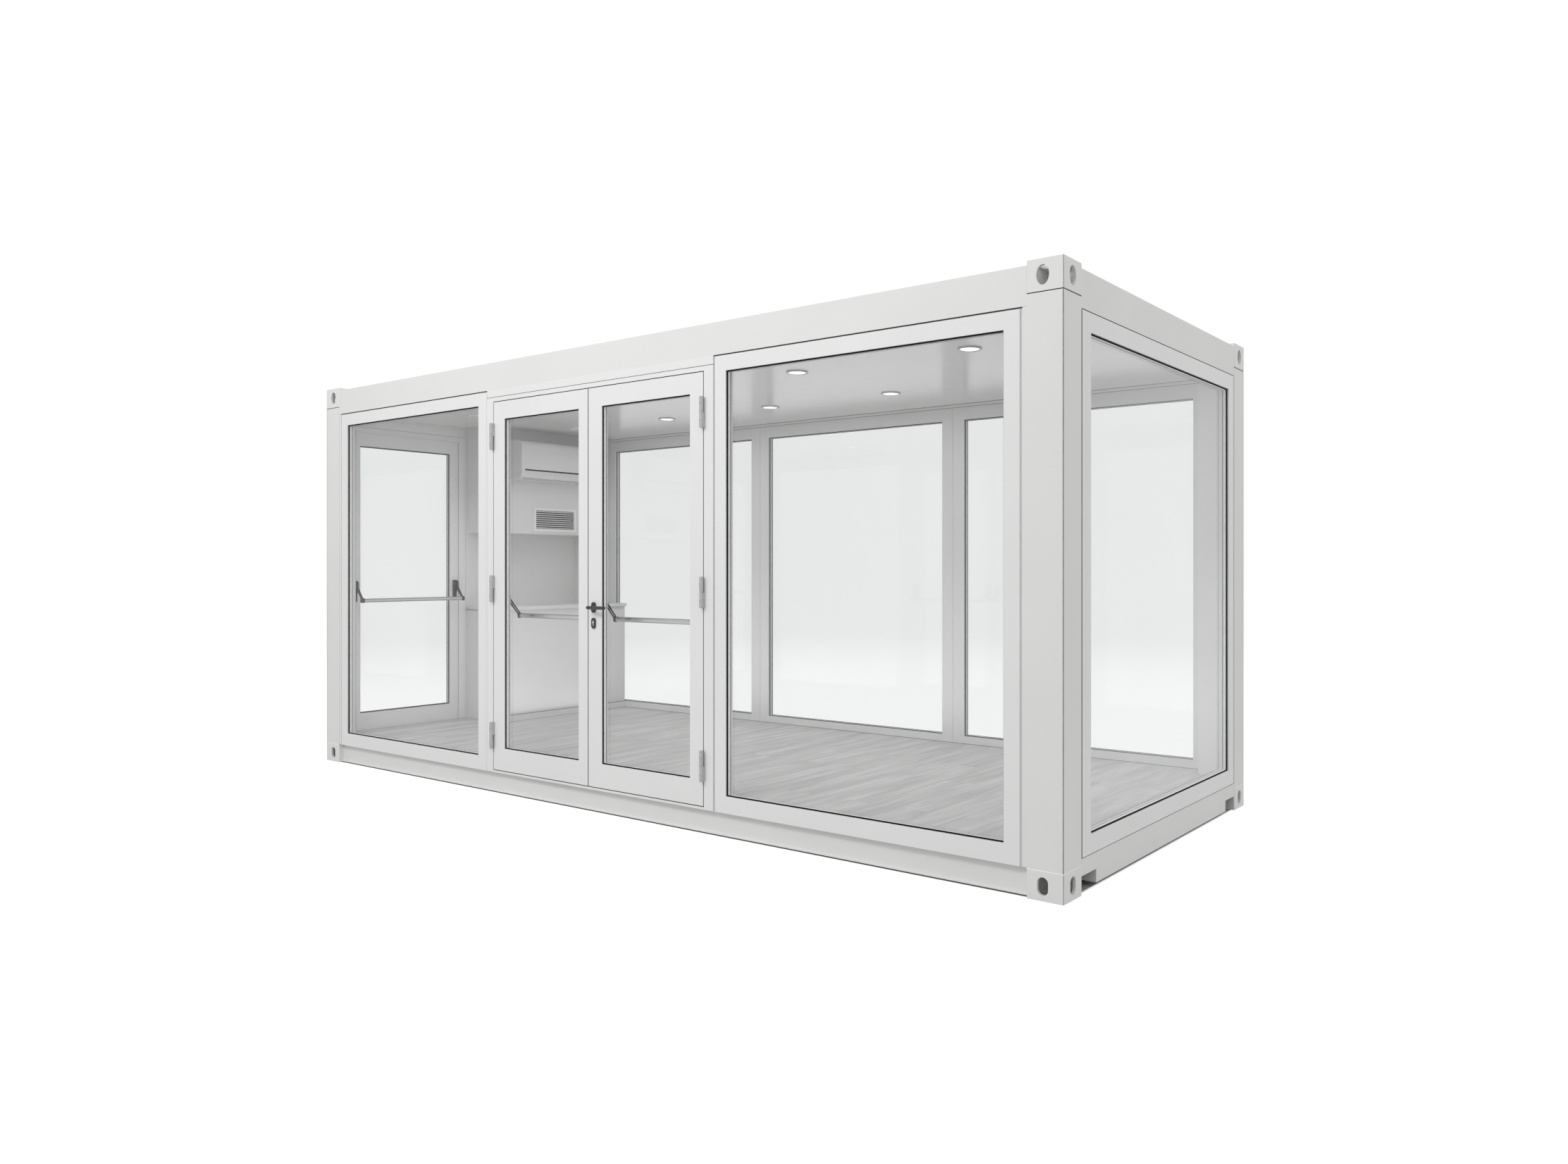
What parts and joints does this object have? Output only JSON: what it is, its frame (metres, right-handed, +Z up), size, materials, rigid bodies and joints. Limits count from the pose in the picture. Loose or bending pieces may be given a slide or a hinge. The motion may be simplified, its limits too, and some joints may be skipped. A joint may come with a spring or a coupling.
{
  "type": "glazed container",
  "caption": "Steel-framed room module glazed on three sides, with an outward double door, a glazed end door with push bars, and a counter corner under a wall air conditioner.",
  "frame": {"origin": "centre of the whole box's footprint, on the ground that the bottom castings stand on", "axes": "+X along the length, away from the end door towards the glazed end; -Y out of the side with the double door; +Z up"},
  "size_m": [6.082, 2.491, 2.762],
  "materials": {
    "steel_white": "off-white powder coat on folded steel",
    "frame_white": "white coated window and door profile",
    "lining_white": "white coated lining panel",
    "roof_steel": "coated trapezoidal sheet",
    "hidden_steel": "primed channel",
    "floor_grey": "pale grey plank floor",
    "clear_glass": "clear double glazing",
    "rubber_black": "black glazing gasket",
    "hinge_grey": "light grey cast hinge",
    "fitting_grey": "dark grey fitting",
    "bar_silver": "satin anodised tube",
    "board_grey": "laminated board",
    "unit_white": "white moulded plastic"
  },
  "bodies": {
    "shell": {"corner_castings": "steel_white", "corner_posts": "steel_white", "post_linings": "lining_white", "roof_rails": "steel_white", "roof_sheet": "roof_steel", "roof_beams": "hidden_steel", "ceiling": "lining_white", "floor_rails": "steel_white", "floor_bearers": "hidden_steel", "floor_deck": "floor_grey", "front_left_frame": "frame_white", "front_right_frame": "frame_white", "end_frame": "frame_white", "back_frames": "frame_white", "back_infill": "frame_white", "front_glass": "clear_glass", "end_glass": "clear_glass", "back_glass": "clear_glass", "glazing_gaskets": "rubber_black", "door_frame": "frame_white", "door_headers": "frame_white", "end_door_frame": "frame_white", "frame_hinges": "hinge_grey", "end_wall": "lining_white", "ceiling_box": "lining_white", "vent_grille": "lining_white", "air_conditioner": "unit_white", "counter_base": "board_grey", "counter_top": "board_grey", "downlights": "unit_white"},
    "left_door": {"left_leaf": "frame_white", "left_leaf_glass": "clear_glass", "left_leaf_gaskets": "rubber_black", "left_leaf_hinges": "hinge_grey", "left_bar_cases": "fitting_grey"},
    "right_door": {"right_leaf": "frame_white", "right_leaf_glass": "clear_glass", "right_leaf_gaskets": "rubber_black", "right_leaf_hinges": "hinge_grey", "right_bar_cases": "fitting_grey", "lock_plates": "fitting_grey"},
    "end_door": {"end_leaf": "frame_white", "end_leaf_glass": "clear_glass", "end_leaf_gaskets": "rubber_black", "end_leaf_hinges": "hinge_grey", "end_bar_cases": "fitting_grey"},
    "lever": {"lever_handle": "fitting_grey"},
    "left_bar": {"left_push_bar": "bar_silver"},
    "right_bar": {"right_push_bar": "bar_silver"},
    "end_bar": {"end_push_bar": "bar_silver"}
  },
  "joints": [
    {"name": "left_door_hinge", "type": "hinge", "parent": "shell", "child": "left_door", "pos_m": [-0.9535, -1.2045, 1.3], "axis": [0, 0, -1], "range_deg": [0, 105]},
    {"name": "right_door_hinge", "type": "hinge", "parent": "shell", "child": "right_door", "pos_m": [0.9115, -1.2045, 1.3], "axis": [0, 0, 1], "range_deg": [0, 105]},
    {"name": "end_door_hinge", "type": "hinge", "parent": "shell", "child": "end_door", "pos_m": [-3.029, -1.042, 1.3], "axis": [0, 0, 1], "range_deg": [0, 105]},
    {"name": "lever_turn", "type": "hinge", "parent": "right_door", "child": "lever", "pos_m": [0.019, -1.2355, 1.201], "axis": [0, 1, 0], "range_deg": [0, 45], "stiffness_Nm_per_rad": 1.5, "springref_deg": -17.19},
    {"name": "left_bar_push", "type": "hinge", "parent": "left_door", "child": "left_bar", "pos_m": [-0.495, -1.1235, 1.245], "axis": [-1, 0, 0], "range_deg": [0, 20], "stiffness_Nm_per_rad": 8, "springref_deg": -11.46},
    {"name": "right_bar_push", "type": "hinge", "parent": "right_door", "child": "right_bar", "pos_m": [0.439, -1.1235, 1.245], "axis": [-1, 0, 0], "range_deg": [0, 20], "stiffness_Nm_per_rad": 8, "springref_deg": -11.46},
    {"name": "end_bar_push", "type": "hinge", "parent": "end_door", "child": "end_bar", "pos_m": [-2.948, -0.5775, 1.305], "axis": [0, 1, 0], "range_deg": [0, 20], "stiffness_Nm_per_rad": 8, "springref_deg": -11.46}
  ]
}
